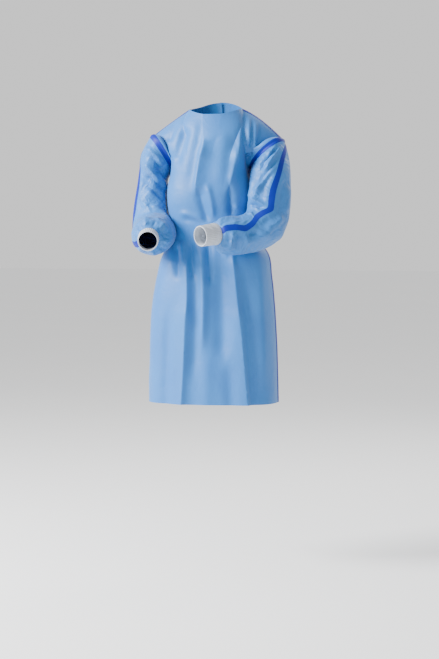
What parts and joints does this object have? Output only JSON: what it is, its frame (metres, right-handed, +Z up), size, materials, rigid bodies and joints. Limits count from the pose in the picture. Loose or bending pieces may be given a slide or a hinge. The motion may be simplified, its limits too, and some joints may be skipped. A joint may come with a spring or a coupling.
{
  "type": "isolation gown",
  "caption": "Long-sleeved isolation gown in worn form: hollow, open at neck, hem and cuffs, laps at the back, ties at the waist, taped seams.",
  "frame": {"origin": "middle of the neck opening, where the wearer's neck and shoulders hold the gown", "axes": "+Z up, -Y the way the front looks, +X the wearer's left"},
  "size_m": [0.5207, 0.4351, 0.9574],
  "materials": {
    "cloth": "satin, film-coated nonwoven",
    "tape": "satin seam tape",
    "cuff": "matt rib knit",
    "tab": "matt hook-and-loop tab"
  },
  "bodies": {
    "root": {"front_panel": "cloth", "back_panel_left": "cloth", "back_panel_right": "cloth", "sleeve_left": "cloth", "sleeve_right": "cloth", "cuff_left": "cuff", "cuff_right": "cuff", "shoulder_tape_left": "tape", "shoulder_tape_right": "tape", "armhole_tape_left": "tape", "armhole_tape_right": "tape", "sleeve_tape_left": "tape", "sleeve_tape_right": "tape", "side_tape_left": "tape", "side_tape_right": "tape", "neck_tab": "tab", "waist_tie_left": "cloth", "waist_tie_right": "cloth", "tie_knot": "cloth", "tie_tail_left": "cloth", "tie_tail_right": "cloth"}
  },
  "joints": []
}
